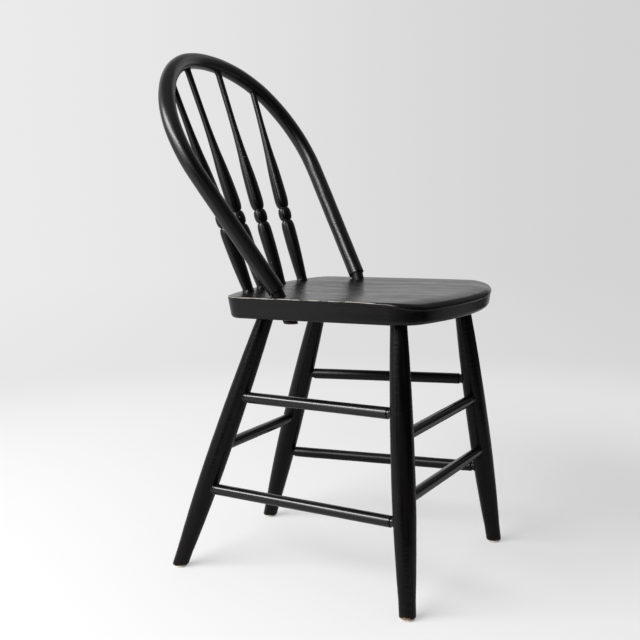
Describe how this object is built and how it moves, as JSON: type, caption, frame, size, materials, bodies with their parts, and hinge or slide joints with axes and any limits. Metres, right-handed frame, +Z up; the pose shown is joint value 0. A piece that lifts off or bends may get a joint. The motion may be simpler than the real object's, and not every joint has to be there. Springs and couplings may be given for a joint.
{
  "type": "windsor chair",
  "caption": "Bow-back Windsor side chair with a bent hoop, turned spindles, a plank seat, splayed legs and dowel stretchers, painted black.",
  "frame": {"origin": "on the floor, under the middle of the chair's bounding box", "axes": "+Z up; the sitter faces -Y and the sitter's right is -X"},
  "size_m": [0.3974, 0.4943, 0.823],
  "materials": {
    "painted_seat": "black semi-gloss paint, worn at the edges",
    "painted_turning": "black semi-gloss brushed paint",
    "painted_bow": "black semi-gloss brushed paint over a red-brown undercoat",
    "glide": "pale translucent nylon",
    "nail": "plain steel"
  },
  "bodies": {
    "root": {"seat": "painted_seat", "bow": "painted_bow", "spindle_outer_right": "painted_turning", "spindle_outer_left": "painted_turning", "spindle_inner_right": "painted_turning", "spindle_inner_left": "painted_turning", "leg_front_right": "painted_turning", "leg_front_left": "painted_turning", "leg_rear_right": "painted_turning", "leg_rear_left": "painted_turning", "stretcher_front_upper": "painted_turning", "stretcher_front_lower": "painted_turning", "stretcher_rear": "painted_turning", "stretcher_side_upper_right": "painted_turning", "stretcher_side_upper_left": "painted_turning", "stretcher_side_lower_right": "painted_turning", "stretcher_side_lower_left": "painted_turning", "glide_front_right": "glide", "glide_front_left": "glide", "glide_rear_right": "glide", "glide_rear_left": "glide", "glide_nails": "nail"}
  },
  "joints": []
}
